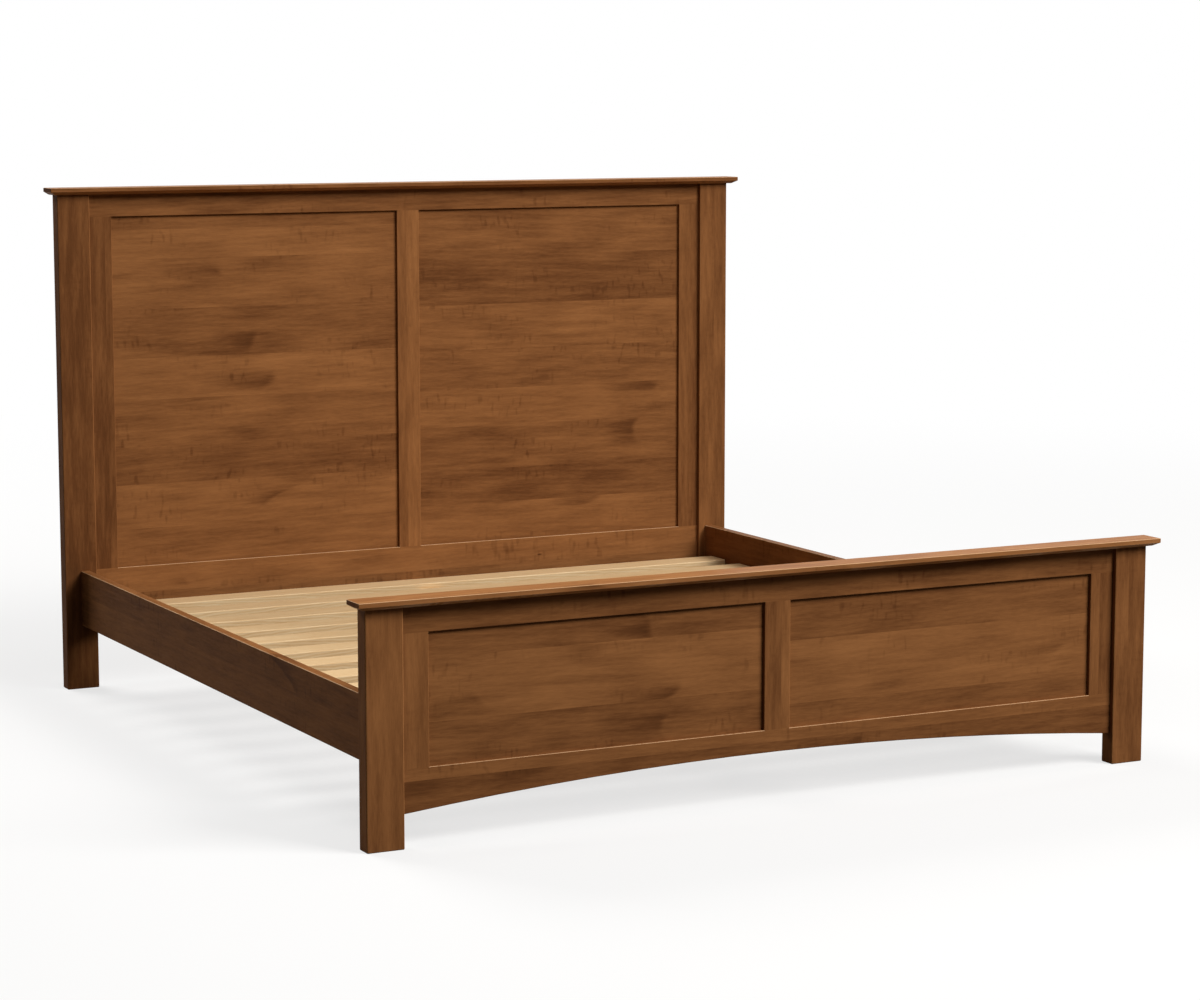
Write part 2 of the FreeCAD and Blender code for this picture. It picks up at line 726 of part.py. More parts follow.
def bed():
    """Every piece of the bed, by node name."""
    foot_rail_bottom = side_rail_bottom - foot_rail_height
    ends = [
        end_sizes("head", head_front_y, head_height, side_rail_bottom, side_rail_top, 0.0),
        end_sizes("foot", foot_front_y, foot_height, foot_rail_bottom, side_rail_bottom, foot_arch_rise),
    ]
    parts = {}
    for end in ends:
        parts.update(end_parts(end))
        parts[end["prefix"] + "_beam_angle"] = beam_angle(end)
    for name, side in SIDES.items():
        parts["side_rail_" + name] = side_rail(side)
        parts["cleat_" + name] = cleat(side)
    for index in range(slat_count):
        parts[f"slat_{index + 1:02d}"] = slat(index)
    parts["centre_beam"] = centre_beam()
    for number, y in enumerate(leg_places(), 1):
        parts[f"centre_leg_{number}"] = centre_leg(y)
        parts[f"foot_pad_{number}"] = foot_pad(y)
        parts[f"foot_stem_{number}"] = foot_stem(y)
    parts.update(fastener_groups(ends))
    return parts


os.makedirs("parts", exist_ok=True)
for node, shape in bed().items():
    if not shape.isValid():
        raise ValueError(node + " is not a valid solid")
    shape.exportStep(f"parts/{node}.step")
    print(node, len(shape.Solids), round(shape.Volume / 1000, 1), "cm3")
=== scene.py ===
import bpy
import math
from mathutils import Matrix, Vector


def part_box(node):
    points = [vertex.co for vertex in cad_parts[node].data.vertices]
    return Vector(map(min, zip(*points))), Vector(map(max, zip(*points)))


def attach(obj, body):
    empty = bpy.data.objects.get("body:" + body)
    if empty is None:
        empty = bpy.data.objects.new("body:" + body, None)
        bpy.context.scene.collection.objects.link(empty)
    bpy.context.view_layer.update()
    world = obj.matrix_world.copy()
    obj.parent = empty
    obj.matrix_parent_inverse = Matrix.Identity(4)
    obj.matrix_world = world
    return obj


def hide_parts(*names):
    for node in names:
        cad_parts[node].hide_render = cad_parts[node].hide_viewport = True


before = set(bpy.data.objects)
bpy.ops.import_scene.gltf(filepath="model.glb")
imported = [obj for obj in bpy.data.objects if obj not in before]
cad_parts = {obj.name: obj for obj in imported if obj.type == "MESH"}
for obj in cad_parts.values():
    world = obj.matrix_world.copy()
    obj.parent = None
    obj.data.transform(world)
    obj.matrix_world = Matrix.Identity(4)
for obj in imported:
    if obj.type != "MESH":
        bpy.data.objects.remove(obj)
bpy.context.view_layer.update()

scene = bpy.context.scene

# Axes, as places in a vector, the millimetres in a metre, and the numbers of the screw feet
ACROSS_BED, ALONG_BED, UPRIGHT = 0, 1, 2
METRE = 1000
FEET = (1, 2, 3)

# Camera: sensor and lens in millimetres, and where the photograph's camera stood, in metres and degrees
SENSOR_WIDTH = 36.0
LENS = 95.40
CAMERA_PLACE = (-3.6892, -7.3121, 1.6882)
CAMERA_YAW = 27.248
CAMERA_PITCH = 7.639

# Softboxes, which all face one point: azimuth and elevation in degrees round the bed, distance, width and
# height in metres, and watts
KEY_LIGHT = (36, 38, 12.0, 6.5, 5.0, 1730)
TOP_LIGHT = (0, 79, 4.1, 2.6, 2.0, 36)
BACK_LIGHT = (201, 38, 12.0, 6.0, 5.0, 1020)
AIM = (0.0, 0.0, 0.5)

# Surround: white to the eye, with a low even light
WHITE = "#FFFFFF"
AMBIENT_LEVEL = 0.035

# Floor: a round sheet, pale to the eye, which fades to the white round it over some metres. It throws
# little light back up, so that faces turned away from the softboxes stay dark
FLOOR_RADIUS = 14.0
FLOOR_SEGMENTS = 96
FLOOR_FADE = {"From Min": 1.5, "From Max": 8.0, "To Min": 0.70, "To Max": 1.0}
FLOOR_COLOUR = "#E6E4E1"
FLOOR_BOUNCE = "#595653"

# Wood's patterns: size in millimetres along and across the grain, then how finely they break up. Stain
# lies in blotches, drift and streaks, from broad to fine. Ticks lie where there is figure, and smudges
# where there are clouds, with slanting ends. Pores are too fine to show in the render, so their streaks are
# drawn as coarse as they need to be to show
WANDER = (640, 120, 1.0)
BLOTCHES = (190, 75, 1.0)
DRIFT = (170, 17, 2.0)
STREAKS = (24, 2.6, 4.0)
TICKS = (11, 34, 0.0)
FIGURE = (230, 80, 1.0)
SLANT = (900, 120, 0.0)
CLOUDS = (420, 70, 1.0)
KNOTS = (430, 130)
NOISE_ROUGHNESS = 0.55

# Wood's patterns: how far the grain wanders and the smudges slant, and how far apart the smudges lie, in
# millimetres, then how fast a smudge fades, and the share of its length in which it stops
SWAY = 6.0
SLIDE = 500.0
SMUDGE_SPACING = 520.0
SMUDGE_FALL = 3.5
SMUDGE_EDGE = {"From Min": 1.0, "From Max": 0.95}

# Log that a piece is sawn from: its tilt in radians, how far off its pith lies in millimetres, in a few
# steps that differ from piece to piece, and how its rings waver
LOG_TILT = 0.035
PITH_AWAY = 60.0
PITH_STEP = 17.0
PITH_STEPS = 5
RING_WAVER = {"Distortion": 4.0, "Detail": 2.0, "Detail Scale": 0.35}

# Noise cut into marks, and facing cut into faces: nothing at the first level, all of it at the second
TICK_CUT = {"From Min": 0.56, "From Max": 0.80}
FIGURE_CUT = {"From Min": 0.50, "From Max": 0.66}
CLOUD_CUT = {"From Min": 0.54, "From Max": 0.72}
KNOT_CUT = {"From Min": 0.026, "From Max": 0.008}
END_CUT = {"From Min": 0.75, "From Max": 0.95}
TOP_CUT = {"From Min": 0.60, "From Max": 0.95}
ROUND_CUT = {"From Min": 0.97, "From Max": 0.88}
RISE_CUT = {"From Min": 0.30, "From Max": 0.60}
PATCH_CUT = {"From Min": 0.35, "From Max": 0.65}
SMOOTH = {"interpolation_type": "SMOOTHSTEP"}

# A wave texture of scale 1 goes through this many radians in a metre, and repeats after this length in
# millimetres
WAVE_RADIANS = 20
WAVE_LENGTH = METRE * math.tau / WAVE_RADIANS

# Pores along the grain: their depth in millimetres, deeper than real ones so that they show, and how much
# duller they are than the lacquer round them
PORE_DEPTH = 0.6
PORE_DULLNESS = 0.28

# Tones: the middle of a wood's colours, layers that lie evenly about it, and how far boards lie from it
MIDDLE = 0.5
EVEN_LAYERS = ("blotches", "drift", "streaks", "rings")
DEEP, DARK, DULL, EVEN, BRIGHT, LIGHT = -0.18, -0.12, -0.06, 0.0, 0.06, 0.14

# Stained maple: close-grained, so its stain lies in soft blotches, fine streaks and a few wedge-shaped
# smudges, with rows of short dark ticks across the grain. Its satin lacquer is thin and hardly shines. It
# is smoothest on top faces, which are also painted paler as a painted sheen. Its edges are painted paler,
# partly real wear and partly painted highlight, and those that face up get a further painted highlight
# toward the palest colour
STAINED_MAPLE = {
    "colours": [
        (0.0, "#3F2411"), (0.3, "#653E22"), (0.5, "#825430"), (0.72, "#98653B"), (0.92, "#AE7A4A"),
        # The palest colour is reached mostly where the painted glints lift edges that face up
        (1.0, "#D2AB84"),
    ],
    "blotches": 0.26,
    "drift": 0.36,
    "streaks": 0.26,
    "rings": 0.03,
    "ticks": -0.11,
    "smudges": -0.25,
    "knots": -0.34,
    "ends": -0.22,
    "tops_and_painted_sheen": 0.08,
    "wear_and_painted_highlight": 0.28,
    "painted_glints": 0.34,
    "ring_spacing": 11.0,
    "roughness": (0.46, 0.34),
    "shine": 0.008,
    "relief": 0.10,
}

# Straight maple: the same wood from straighter boards, so with fewer marks
STRAIGHT_MAPLE = dict(STAINED_MAPLE, ticks=-0.03, smudges=-0.05)

# Planed pine: pale, with plain growth rings and brown knots, left bare, so it is dull
PLANED_PINE = {
    "colours": [
        (0.0, "#9C6A3C"), (0.3, "#C79F6E"), (0.5, "#D6B587"), (0.72, "#E0C59B"), (1.0, "#EAD6B2"),
    ],
    "blotches": 0.10,
    "drift": 0.30,
    "streaks": 0.26,
    "rings": 0.20,
    "ticks": 0.0,
    "smudges": -0.05,
    "knots": -0.55,
    "ends": -0.16,
    "tops_and_painted_sheen": 0.0,
    "wear_and_painted_highlight": 0.06,
    "painted_glints": 0.0,
    "ring_spacing": 7.0,
    "roughness": (0.60, 0.60),
    "shine": 0.20,
    "relief": 0.25,
}

# Boards of each stained piece: the way they lie side by side, then where each starts in millimetres, and
# its tone. Some tones are painted shade: both top rails are darker for the shade under their caps, and so
# are the lower board of the foot's bottom rail, the foot's right stile's board by its post, and the two top
# boards of the head's right panel
BOARDS = {
    "foot_cap": (ALONG_BED, [(-1085, LIGHT)]),
    "head_cap": (ALONG_BED, [(1015, DULL)]),
    "foot_panel_left": (UPRIGHT, [(169, DULL), (274, BRIGHT), (418, DULL)]),
    "foot_panel_right": (UPRIGHT, [(169, DULL), (231, BRIGHT), (380, DULL)]),
    "head_panel_left": (UPRIGHT, [
        (321, EVEN), (430, BRIGHT), (556, DULL), (660, EVEN), (790, BRIGHT), (905, DULL), (1040, EVEN),
        (1180, BRIGHT), (1259, DULL),
    ]),
    # Painted shade: this panel's two top boards are darker
    "head_panel_right": (UPRIGHT, [
        (321, EVEN), (440, DARK), (540, DULL), (668, EVEN), (775, DULL), (890, EVEN), (1020, DARK),
        (1163, DULL),
    ]),
    # Painted shade: the top rails are darker for the shade under their caps, the foot's bottom rail on its
    # lower board
    "head_top_rail": (UPRIGHT, [(1297, DULL)]),
    "foot_top_rail": (UPRIGHT, [(478, DULL)]),
    "foot_bottom_rail": (UPRIGHT, [(76, DARK), (148, EVEN)]),
    "head_bottom_rail": (UPRIGHT, [(177, EVEN), (255, BRIGHT)]),
    "foot_post_right": (ACROSS_BED, [(950, DULL), (990, DARK)]),
    "foot_stile_left": (ACROSS_BED, [(-950, BRIGHT), (-908, EVEN)]),
    # Painted shade: this stile's board from 912 mm, by the post, is darker
    "foot_stile_right": (ACROSS_BED, [(885, DULL), (912, DARK)]),
    "foot_centre_stile": (ACROSS_BED, [(-34, DULL), (10, BRIGHT)]),
    "head_stile_left": (ACROSS_BED, [(-950, DEEP), (-905, DARK)]),
    "head_stile_right": (ACROSS_BED, [(885, DULL), (916, DARK)]),
    "head_centre_stile": (ACROSS_BED, [(-34, DULL), (-6, BRIGHT)]),
    "head_post_left": (ACROSS_BED, [(-1040, DEEP), (-972, DARK)]),
    "head_post_right": (ACROSS_BED, [(950, DULL), (998, DULL)]),
    "side_rail_left": (UPRIGHT, [(177, EVEN), (262, DULL)]),
    "side_rail_right": (UPRIGHT, [(177, DULL), (240, EVEN)]),
}

# How far each piece's and each board's patterns are moved from the last one's, in metres
PIECE_STEP = (1.37, 2.11, 3.53)
BOARD_STEP = 23.7

# Metals and plastic lie in two near colours, in patches, under a fine grit, which is drawn coarser than a
# real one so that it shows. How finely these break up, how strongly the grit shows, and how far the gloss
# varies. Each finish gives its sizes and depth in millimetres
PATCH_DETAIL = 3.0
GRIT_DETAIL = 1.0
GRIT_STRENGTH = 0.35
GLOSS_SPREAD = 0.08

# Powder-coated steel: a soft black with the slight orange peel of baked powder
COATED_STEEL = {
    "dull": "#1B1B1C", "bright": "#262627", "roughness": 0.52, "metallic": 0.0,
    "patch": 14.0, "grit": 1.1, "depth": 0.08,
}

# Zinc-plated steel: grey metal with faint cloudy patches from the plating bath
ZINC_PLATED_STEEL = {
    "dull": "#A9A8A2", "bright": "#C6C4BC", "roughness": 0.34, "metallic": 1.0,
    "patch": 5.0, "grit": 0.7, "depth": 0.02,
}

# Turned brass: warm yellow metal, a little tarnished
TURNED_BRASS = {
    "dull": "#A27E3E", "bright": "#C29C55", "roughness": 0.32, "metallic": 1.0,
    "patch": 5.0, "grit": 0.8, "depth": 0.02,
}

# Moulded nylon: dark grey and waxy, with the faint grain of the mould
MOULDED_NYLON = {
    "dull": "#2A2A2B", "bright": "#353536", "roughness": 0.46, "metallic": 0.0,
    "patch": 9.0, "grit": 0.9, "depth": 0.05,
}

# Stems of the screw feet, in millimetres up from their lower ends: a plain neck, a hexagon with its
# corners turned off, and a right-hand thread up to a bevelled tip. Their skin has a number of sides, and
# a number of rings to each turn of the thread
STEM_SIDES = 24
STEM_RADIUS = 5.0
STEM_LENGTH = 66.0
STEM_TIP = 1.5
HEXAGON_BOTTOM = 6.0
HEXAGON_TOP = 12.0
HEXAGON_SIDES = 6
HEXAGON_FLATS = 17.0
HEXAGON_FACE = 16.0
HEXAGON_SLOPE = math.tan(math.radians(30))
THREAD_PITCH = 1.5
THREAD_DEPTH = 0.9
THREAD_RINGS = 8


def linear(code):
    """An sRGB hex colour as linear red, green and blue, with a full alpha."""
    parts = [int(code[i:i + 2], 16) / 255 for i in (1, 3, 5)]
    return [c / 12.92 if c <= 0.04045 else ((c + 0.055) / 1.055) ** 2.4 for c in parts] + [1.0]


def add(tree, kind, settings, inputs):
    """Adds a node with its settings or a ramp's stops. An input is a value, a node or a node's output."""
    node = tree.nodes.new("ShaderNode" + kind)
    for name, value in settings.items():
        if name == "stops":
            for place, colour in value[1:-1]:
                node.color_ramp.elements.new(place)
            for element, (place, colour) in zip(node.color_ramp.elements, value):
                element.position = place
                element.color = colour
        elif name == "interpolation":
            node.color_ramp.interpolation = value
        else:
            setattr(node, name, value)
    for name, value in inputs.items():
        found = [s for s in node.inputs if s.enabled and s.name == name]
        socket = found[0] if found else node.inputs[name]
        if isinstance(value, bpy.types.Node):
            value = next(s for s in value.outputs if s.enabled)
        if isinstance(value, bpy.types.NodeSocket):
            tree.links.new(value, socket)
        else:
            socket.default_value = value
    return node


def new_material(name):
    """An empty material, and the node tree to fill."""
    material = bpy.data.materials.new(name)
    material.use_nodes = True
    material.node_tree.nodes.clear()
    return material, material.node_tree


def dress(piece, material):
    """Gives a CAD piece its material in place of the plain one."""
    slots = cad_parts[piece].data.materials
    slots.clear()
    slots.append(material)


def toward(axis, length):
    """A vector of a length along an axis."""
    return [length if place == axis else 0.0 for place in range(3)]


def aside(axis, length):
    """A vector of a length along each of the two other axes."""
    return [0.0 if place == axis else length for place in range(3)]


def per_metre(grain, along, across):
    """How many of a pattern's patches lie in a metre each way, from a patch's size in millimetres."""
    return [METRE / (along if axis == grain else across) for axis in range(3)]


def mottle(tree, place, grain, along, across, detail):
    """Soft noise whose patches have a size in millimetres along and across the grain."""
    count = per_metre(grain, along, across)
    patches = add(tree, "VectorMath", {"operation": "MULTIPLY"}, {0: place, 1: count})
    return add(tree, "TexNoise", {}, {
        "Vector": patches, "Scale": 1.0, "Detail": detail, "Roughness": NOISE_ROUGHNESS,
    })


def board_parts(tree, place, piece, grain):
    """A glued-up piece's tone and places: each board has its own tone, and its grain starts elsewhere."""
    axis, boards = BOARDS[piece]
    low, high = (corner[axis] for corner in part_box(piece))
    stops = []
    for number, (start, tone) in enumerate(boards):
        along = max(0.0, (start / METRE - low) / (high - low))
        stops.append((along, (MIDDLE + tone, number / len(boards), 0.0, 1.0)))
    stops.append((1.0, stops[-1][1]))
    apart = add(tree, "SeparateXYZ", {}, {0: place})
    share = add(tree, "MapRange", {}, {"Value": apart.outputs[axis], "From Min": low, "From Max": high})
    ramp = add(tree, "ValToRGB", {"interpolation": "CONSTANT", "stops": stops}, {0: share})
    split = add(tree, "SeparateColor", {}, {0: ramp})
    step = toward(grain, BOARD_STEP)
    shift = add(tree, "VectorMath", {"operation": "SCALE"}, {0: step, "Scale": split.outputs[1]})
    return split.outputs[0], add(tree, "VectorMath", {"operation": "ADD"}, {0: place, 1: shift})


def growth_rings(tree, place, grain, seed, spacing):
    """Rings of a log cut a little off its axis, which closes some of them into long points."""
    tilt = [0.0 if axis == grain else LOG_TILT * (1 if (seed + axis) % 2 else -1) for axis in range(3)]
    pith = aside(grain, (PITH_AWAY + PITH_STEP * (seed % PITH_STEPS)) / METRE)
    log = add(tree, "Mapping", {}, {"Vector": place, "Location": pith, "Rotation": tilt})
    rings = {"wave_type": "RINGS", "rings_direction": "XYZ"[grain]}
    return add(tree, "TexWave", rings, dict(RING_WAVER, Vector=log, Scale=WAVE_LENGTH / spacing))


def cross_ticks(tree, place, grain):
    """Short marks across the grain, in rows, in some parts of a board only."""
    ticks = add(tree, "MapRange", SMOOTH, dict(TICK_CUT, Value=mottle(tree, place, grain, *TICKS)))
    figure = add(tree, "MapRange", SMOOTH, dict(FIGURE_CUT, Value=mottle(tree, place, grain, *FIGURE)))
    return add(tree, "Math", {"operation": "MULTIPLY"}, {0: ticks, 1: figure})


def smudges(tree, place, grain):
    """Stain that deepens along the grain and stops at a slanting edge."""
    slant = mottle(tree, place, grain, *SLANT)
    slid = add(tree, "VectorMath", {"operation": "MULTIPLY_ADD"},
               {0: slant.outputs["Color"], 1: toward(grain, SLIDE / METRE), 2: place})
    saw = add(tree, "TexWave", {"bands_direction": "XYZ"[grain], "wave_profile": "SAW"},
              {"Vector": slid, "Scale": WAVE_LENGTH / SMUDGE_SPACING}).outputs["Fac"]
    wedge = add(tree, "Math", {"operation": "POWER"}, {0: saw, 1: SMUDGE_FALL})
    edge = add(tree, "MapRange", SMOOTH, dict(SMUDGE_EDGE, Value=saw))
    stopped = add(tree, "Math", {"operation": "MULTIPLY"}, {0: wedge, 1: edge})
    clouds = add(tree, "MapRange", SMOOTH, dict(CLOUD_CUT, Value=mottle(tree, place, grain, *CLOUDS)))
    return add(tree, "Math", {"operation": "MULTIPLY"}, {0: stopped, 1: clouds})


def pin_knots(tree, place, grain):
    """A few small dark knots, drawn out along the grain."""
    patches = add(tree, "VectorMath", {"operation": "MULTIPLY"}, {0: place, 1: per_metre(grain, *KNOTS)})
    specks = add(tree, "TexVoronoi", {}, {"Vector": patches, "Scale": 1.0})
    return add(tree, "MapRange", SMOOTH, dict(KNOT_CUT, Value=specks))


def faces(tree, grain):
    """Sawn ends, tops with a painted sheen, edges with wear and a painted highlight, more where they face
    up.
    """
    normal = add(tree, "TexCoord", {}, {}).outputs["Normal"]
    upward = add(tree, "SeparateXYZ", {}, {0: normal}).outputs[UPRIGHT]
    turned = add(tree, "VectorMath", {"operation": "ABSOLUTE"}, {0: normal})
    facing = add(tree, "SeparateXYZ", {}, {0: turned}).outputs
    wide = add(tree, "Math", {"operation": "MAXIMUM"}, {0: facing[ACROSS_BED], 1: facing[ALONG_BED]})
    square = add(tree, "Math", {"operation": "MAXIMUM"}, {0: wide, 1: facing[UPRIGHT]})
    edges = add(tree, "MapRange", SMOOTH, dict(ROUND_CUT, Value=square))
    rise = add(tree, "MapRange", SMOOTH, dict(RISE_CUT, Value=upward))
    # Painted light: a sheen on tops, a highlight with real wear on edges, more on edges that face up
    return {
        "ends": add(tree, "MapRange", SMOOTH, dict(END_CUT, Value=facing[grain])),
        "tops_and_painted_sheen": add(tree, "MapRange", SMOOTH, dict(TOP_CUT, Value=upward)),
        "wear_and_painted_highlight": edges,
        "painted_glints": add(tree, "Math", {"operation": "MULTIPLY"}, {0: edges, 1: rise}),
    }


def grain_places(tree, piece, grain, seed):
    """A wooden piece's tone and places. Its patterns start where no other's do, and its grain wanders."""
    tone, place = MIDDLE, add(tree, "TexCoord", {}, {}).outputs["Object"]
    if piece in BOARDS:
        tone, place = board_parts(tree, place, piece, grain)
    moved = [seed * step for step in PIECE_STEP]
    place = add(tree, "VectorMath", {"operation": "ADD"}, {0: place, 1: moved})
    wander = mottle(tree, place, grain, *WANDER).outputs["Color"]
    sway = {0: wander, 1: aside(grain, SWAY / METRE), 2: place}
    return tone, add(tree, "VectorMath", {"operation": "MULTIPLY_ADD"}, sway)


def wood_layers(tree, place, grain, seed, ring_spacing):
    """A wood's patterns and its painted sheen and highlights, each named as its strength is in the finish.
    """
    layers = {
        "blotches": mottle(tree, place, grain, *BLOTCHES),
        "drift": mottle(tree, place, grain, *DRIFT),
        "streaks": mottle(tree, place, grain, *STREAKS),
        "rings": growth_rings(tree, place, grain, seed, ring_spacing),
        "ticks": cross_ticks(tree, place, grain),
        "smudges": smudges(tree, place, grain),
        "knots": pin_knots(tree, place, grain),
    }
    layers.update(faces(tree, grain))
    return layers


def wood_colour(tree, tone, layers, finish):
    """A wood's layers laid over its tone, each at its strength, and turned to the wood's colours."""
    mean = MIDDLE * sum(finish[layer] for layer in EVEN_LAYERS)
    total = add(tree, "Math", {"operation": "SUBTRACT"}, {0: tone, 1: mean})
    # Some layers paint light into the colour: a sheen on tops and highlights on edges
    for layer, pattern in layers.items():
        total = add(tree, "Math", {"operation": "MULTIPLY_ADD"}, {0: pattern, 1: finish[layer], 2: total})
    stops = [(share, linear(code)) for share, code in finish["colours"]]
    return add(tree, "ValToRGB", {"stops": stops}, {0: total})


def wood_roughness(tree, layers, finish):
    """A wood's surface, which may be smoother on top faces and is duller in the pores."""
    plain, smoothest = finish["roughness"]
    rough = add(tree, "MapRange", {}, {"Value": layers["tops_and_painted_sheen"], "To Min": plain, "To Max": smoothest})
    pores = add(tree, "Math", {"operation": "SUBTRACT"}, {0: MIDDLE, 1: layers["streaks"]})
    return add(tree, "Math", {"operation": "MULTIPLY_ADD"}, {0: pores, 1: PORE_DULLNESS, 2: rough})


def wood(piece, name, finish, grain, seed):
    """Wood with its grain along an axis, as marks laid over the tones of its boards."""
    material, tree = new_material(f"{name}.{piece}")
    tone, place = grain_places(tree, piece, grain, seed)
    layers = wood_layers(tree, place, grain, seed, finish["ring_spacing"])
    relief = add(tree, "Bump", {}, {
        "Strength": finish["relief"], "Distance": PORE_DEPTH / METRE, "Height": layers["streaks"],
    })
    shader = add(tree, "BsdfPrincipled", {}, {
        "Base Color": wood_colour(tree, tone, layers, finish),
        "Roughness": wood_roughness(tree, layers, finish),
        "Specular IOR Level": finish["shine"],
        "Normal": relief,
    })
    add(tree, "OutputMaterial", {}, {"Surface": shader})
    dress(piece, material)


def dress_wood():
    """Every wooden piece, with its grain along its length."""
    straight = {f"{end}_{part}": UPRIGHT for end in ("head", "foot") for part in (
        "post_left", "post_right", "stile_left", "stile_right", "centre_stile")}
    stained = {f"{end}_{part}": ACROSS_BED for end in ("head", "foot") for part in (
        "cap", "top_rail", "bottom_rail", "panel_left", "panel_right")}
    stained.update({f"side_rail_{side}": ALONG_BED for side in ("left", "right")})
    slats = [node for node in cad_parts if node.startswith("slat_") and node != "slat_screws"]
    bare = {node: ACROSS_BED for node in slats}
    bare.update({node: ALONG_BED for node in ("cleat_left", "cleat_right", "centre_beam")})
    bare.update({node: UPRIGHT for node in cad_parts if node.startswith("centre_leg_")})
    bare["cap_dowels"] = UPRIGHT
    seed = 0
    for name, finish, pieces in (
            ("stained_maple", STAINED_MAPLE, stained), ("straight_maple", STRAIGHT_MAPLE, straight),
            ("planed_pine", PLANED_PINE, bare)):
        for piece, grain in sorted(pieces.items()):
            seed = seed + 1
            wood(piece, name, finish, grain, seed)


def hard_surface(name, finish):
    """Metal or plastic, with its colour and gloss in cloudy patches over a fine grit."""
    material, tree = new_material(name)
    place = add(tree, "TexCoord", {}, {}).outputs["Object"]
    patch = mottle(tree, place, UPRIGHT, finish["patch"], finish["patch"], PATCH_DETAIL)
    clouds = add(tree, "MapRange", SMOOTH, dict(PATCH_CUT, Value=patch))
    grit = mottle(tree, place, UPRIGHT, finish["grit"], finish["grit"], GRIT_DETAIL)
    stops = [(0.0, linear(finish["dull"])), (1.0, linear(finish["bright"]))]
    colour = add(tree, "ValToRGB", {"stops": stops}, {0: clouds})
    rough = finish["roughness"]
    gloss = add(tree, "MapRange", {}, {
        "Value": clouds, "To Min": rough + GLOSS_SPREAD, "To Max": rough - GLOSS_SPREAD,
    })
    relief = add(tree, "Bump", {}, {
        "Strength": GRIT_STRENGTH, "Distance": finish["depth"] / METRE, "Height": grit,
    })
    shader = add(tree, "BsdfPrincipled", {}, {
        "Base Color": colour, "Roughness": gloss, "Metallic": finish["metallic"], "Normal": relief,
    })
    add(tree, "OutputMaterial", {}, {"Surface": shader})
    return material


def hexagon_corner(angle):
    """A hexagon's radius at an angle from a corner, and how far its edge is turned off there."""
    side = math.tau / HEXAGON_SIDES
    radius = HEXAGON_FLATS / 2 / math.cos(angle % side - side / 2)
    return radius, (radius - HEXAGON_FACE / 2) * HEXAGON_SLOPE


def thread_radius(height, angle):
    """How far a stem's thread is from its middle. It starts above the hexagon and ends in the tip."""
    turns = height / THREAD_PITCH - angle / math.tau
    groove = abs(2 * (turns % 1) - 1)
    started = min(1.0, (height - HEXAGON_TOP) / THREAD_PITCH)
    bevel = max(0.0, height - STEM_LENGTH + STEM_TIP)
    return STEM_RADIUS - max(THREAD_DEPTH * groove * started, bevel)


def stem_rings(angles):
    """Rings up a stem: the height and the radius of each one at each angle."""
    hexagon = [hexagon_corner(angle) for angle in angles]
    rings = [
        [(0.0, STEM_RADIUS) for angle in angles],
        [(HEXAGON_BOTTOM, STEM_RADIUS) for angle in angles],
        [(HEXAGON_BOTTOM, HEXAGON_FACE / 2) for angle in angles],
        [(HEXAGON_BOTTOM + turned, radius) for radius, turned in hexagon],
        [(HEXAGON_TOP - turned, radius) for radius, turned in hexagon],
        [(HEXAGON_TOP, HEXAGON_FACE / 2) for angle in angles],
    ]
    length = STEM_LENGTH - HEXAGON_TOP
    steps = round(length / THREAD_PITCH * THREAD_RINGS)
    for step in range(steps + 1):
        height = HEXAGON_TOP + length * step / steps
        rings.append([(height, thread_radius(height, angle)) for angle in angles])
    return rings


def stem_mesh(name, foot):
    """A stem's skin, as rings up from the middle of its lower end."""
    angles = [math.tau * i / STEM_SIDES for i in range(STEM_SIDES)]
    points = []
    for ring in stem_rings(angles):
        for angle, (height, radius) in zip(angles, ring):
            away = Vector((radius * math.cos(angle), radius * math.sin(angle), height)) / METRE
            points.append(foot + away)
    sheets = [list(reversed(range(STEM_SIDES)))]
    for first in range(0, len(points) - STEM_SIDES, STEM_SIDES):
        for side in range(STEM_SIDES):
            here, beside = first + side, first + (side + 1) % STEM_SIDES
            sheets.append([here, beside, beside + STEM_SIDES, here + STEM_SIDES])
    sheets.append(list(range(len(points) - STEM_SIDES, len(points))))
    mesh = bpy.data.meshes.new(name)
    mesh.from_pydata(points, [], sheets)
    for face in mesh.polygons:
        face.use_smooth = HEXAGON_TOP < (face.center.z - foot.z) * METRE < STEM_LENGTH
    return mesh


def threaded_stem(number, material):
    """A foot's screw stem with its thread, in place of the plain one."""
    node = f"foot_stem_{number}"
    low, high = (Vector(corner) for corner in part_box(node))
    middle = (low + high) / 2
    mesh = stem_mesh(f"threaded_stem_{number}", Vector((middle.x, middle.y, low.z)))
    mesh.materials.append(material)
    stem = bpy.data.objects.new(mesh.name, mesh)
    scene.collection.objects.link(stem)
    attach(stem, f"stem_{number}")
    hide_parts(node)


def dress_hardware():
    """Every piece of metal or plastic, and the feet's stems with their threads."""
    coated = hard_surface("powder_coated_steel", COATED_STEEL)
    zinc = hard_surface("zinc_plated_steel", ZINC_PLATED_STEEL)
    brass = hard_surface("turned_brass", TURNED_BRASS)
    nylon = hard_surface("moulded_nylon", MOULDED_NYLON)
    finishes = {
        coated: ["head_beam_angle", "foot_beam_angle", "rail_hooks_head", "rail_hooks_foot",
                 "post_plates_head", "post_plates_foot"],
        zinc: ["slat_screws", "cleat_screws", "angle_screws", "connector_screws", "leg_bolts"],
        brass: ["foot_inserts"],
        nylon: [f"foot_pad_{number}" for number in FEET],
    }
    for material, pieces in finishes.items():
        for piece in pieces:
            dress(piece, material)
    for number in FEET:
        threaded_stem(number, zinc)


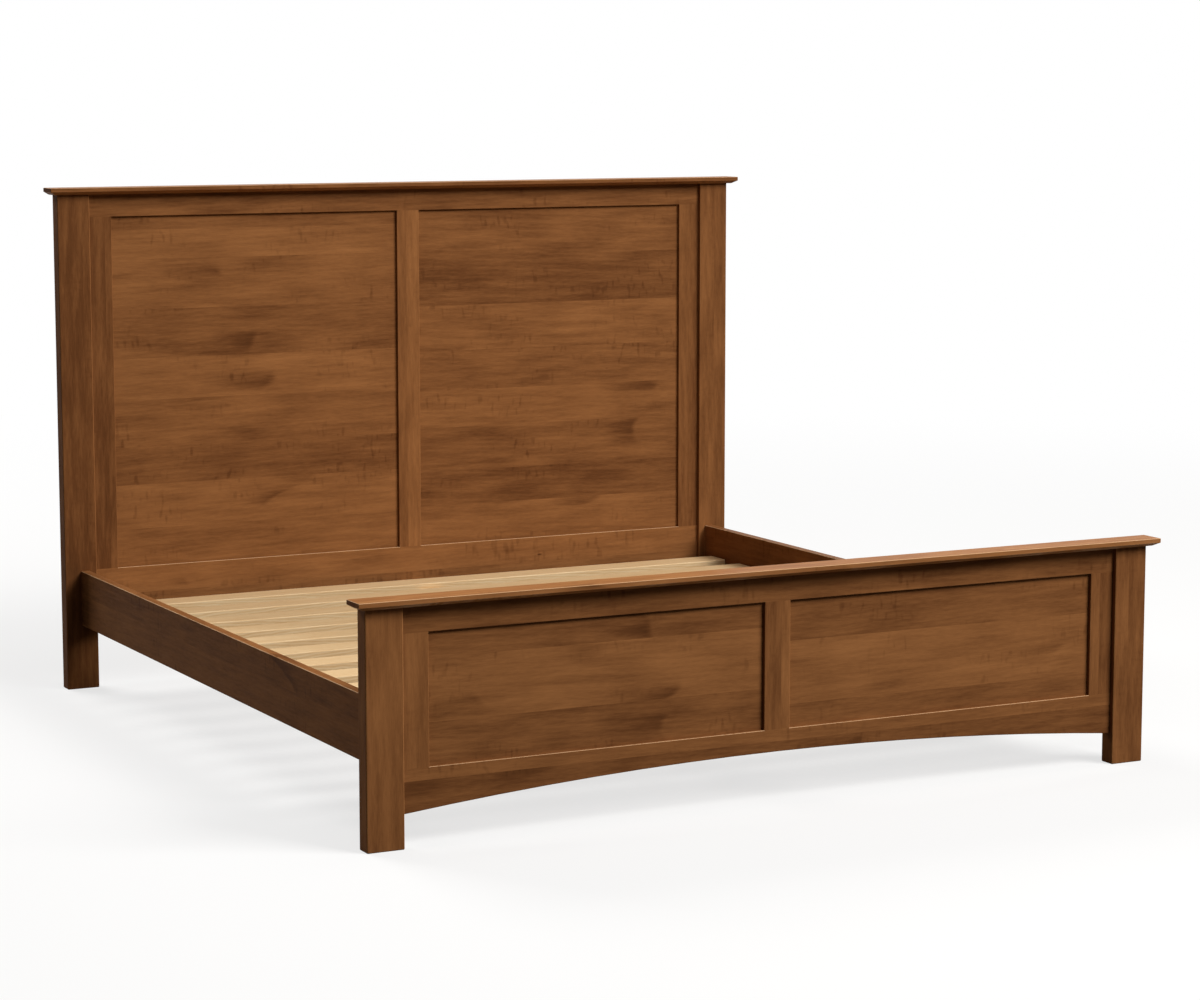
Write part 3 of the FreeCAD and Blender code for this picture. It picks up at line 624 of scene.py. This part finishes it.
def softbox(name, azimuth, elevation, distance, width, height, watts):
    """A rectangular light that faces the bed, at azimuth 0 in front of its foot, at 90 on its right."""
    turn, rise = math.radians(azimuth), math.radians(elevation)
    away = Vector((math.sin(turn) * math.cos(rise), -math.cos(turn) * math.cos(rise), math.sin(rise)))
    light = bpy.data.lights.new(name, "AREA")
    light.shape = "RECTANGLE"
    light.size, light.size_y = width, height
    light.energy = watts
    lamp = bpy.data.objects.new(name, light)
    lamp.location = Vector(AIM) + away * distance
    lamp.rotation_euler = (-away).to_track_quat("-Z", "Y").to_euler()
    scene.collection.objects.link(lamp)


def white_to_the_eye(tree):
    """1 where the surround is seen, also mirrored or through glass, and 0 for the light that it gives."""
    path = add(tree, "LightPath", {}, {})
    rays = [path.outputs[f"Is {kind} Ray"] for kind in ("Camera", "Glossy", "Transmission")]
    seen = add(tree, "Math", {"operation": "MAXIMUM"}, {0: rays[0], 1: rays[1]})
    return add(tree, "Math", {"operation": "MAXIMUM"}, {0: seen, 1: rays[2]})


def surround():
    """White all round to the eye, with only a low even light from it."""
    scene.world = bpy.data.worlds.new("studio")
    scene.world.use_nodes = True
    tree = scene.world.node_tree
    tree.nodes.clear()
    even = add(tree, "Background", {}, {"Color": linear(WHITE), "Strength": AMBIENT_LEVEL})
    white = add(tree, "Background", {}, {"Color": linear(WHITE), "Strength": 1.0})
    mix = add(tree, "MixShader", {}, {0: white_to_the_eye(tree), 1: even, 2: white})
    add(tree, "OutputWorld", {}, {"Surface": mix})


def floor_paint():
    """Matt paint that keeps a soft shadow, fades to white away from the bed, and is clear from below."""
    material, tree = new_material("matt_floor_paint")
    place = add(tree, "TexCoord", {}, {}).outputs["Object"]
    away = add(tree, "VectorMath", {"operation": "LENGTH"}, {0: place})
    fade = add(tree, "MapRange", SMOOTH, dict(FLOOR_FADE, Value=away.outputs["Value"]))
    seen = white_to_the_eye(tree)
    share = add(tree, "Math", {"operation": "MULTIPLY"}, {0: fade, 1: seen})
    tints = [(0.0, linear(FLOOR_BOUNCE)), (1.0, linear(FLOOR_COLOUR))]
    tint = add(tree, "ValToRGB", {"stops": tints}, {0: seen})
    paint = add(tree, "BsdfDiffuse", {}, {"Color": tint})
    white = add(tree, "Emission", {}, {"Color": linear(WHITE), "Strength": 1.0})
    top = add(tree, "MixShader", {}, {0: share, 1: paint, 2: white})
    underneath = add(tree, "NewGeometry", {}, {}).outputs["Backfacing"]
    clear = add(tree, "BsdfTransparent", {}, {})
    sides = add(tree, "MixShader", {}, {0: underneath, 1: top, 2: clear})
    add(tree, "OutputMaterial", {}, {"Surface": sides})
    return material


def floor():
    """A round floor under the bed."""
    turns = [math.tau * i / FLOOR_SEGMENTS for i in range(FLOOR_SEGMENTS)]
    rim = [(FLOOR_RADIUS * math.cos(turn), FLOOR_RADIUS * math.sin(turn), 0.0) for turn in turns]
    mesh = bpy.data.meshes.new("floor")
    mesh.from_pydata(rim, [], [list(range(FLOOR_SEGMENTS))])
    mesh.materials.append(floor_paint())
    sheet = bpy.data.objects.new("floor", mesh)
    scene.collection.objects.link(sheet)


def camera():
    """Camera at the photograph's viewing angle."""
    lens = bpy.data.cameras.new("camera")
    lens.sensor_fit = "HORIZONTAL"
    lens.sensor_width = SENSOR_WIDTH
    lens.lens = LENS
    eye = bpy.data.objects.new("camera", lens)
    eye.location = CAMERA_PLACE
    eye.rotation_euler = (math.radians(90 - CAMERA_PITCH), 0.0, math.radians(-CAMERA_YAW))
    scene.collection.objects.link(eye)
    scene.camera = eye


dress_wood()
dress_hardware()
softbox("key_softbox", *KEY_LIGHT)
softbox("top_softbox", *TOP_LIGHT)
softbox("back_softbox", *BACK_LIGHT)
surround()
floor()
camera()
scene.view_settings.view_transform = "Standard"
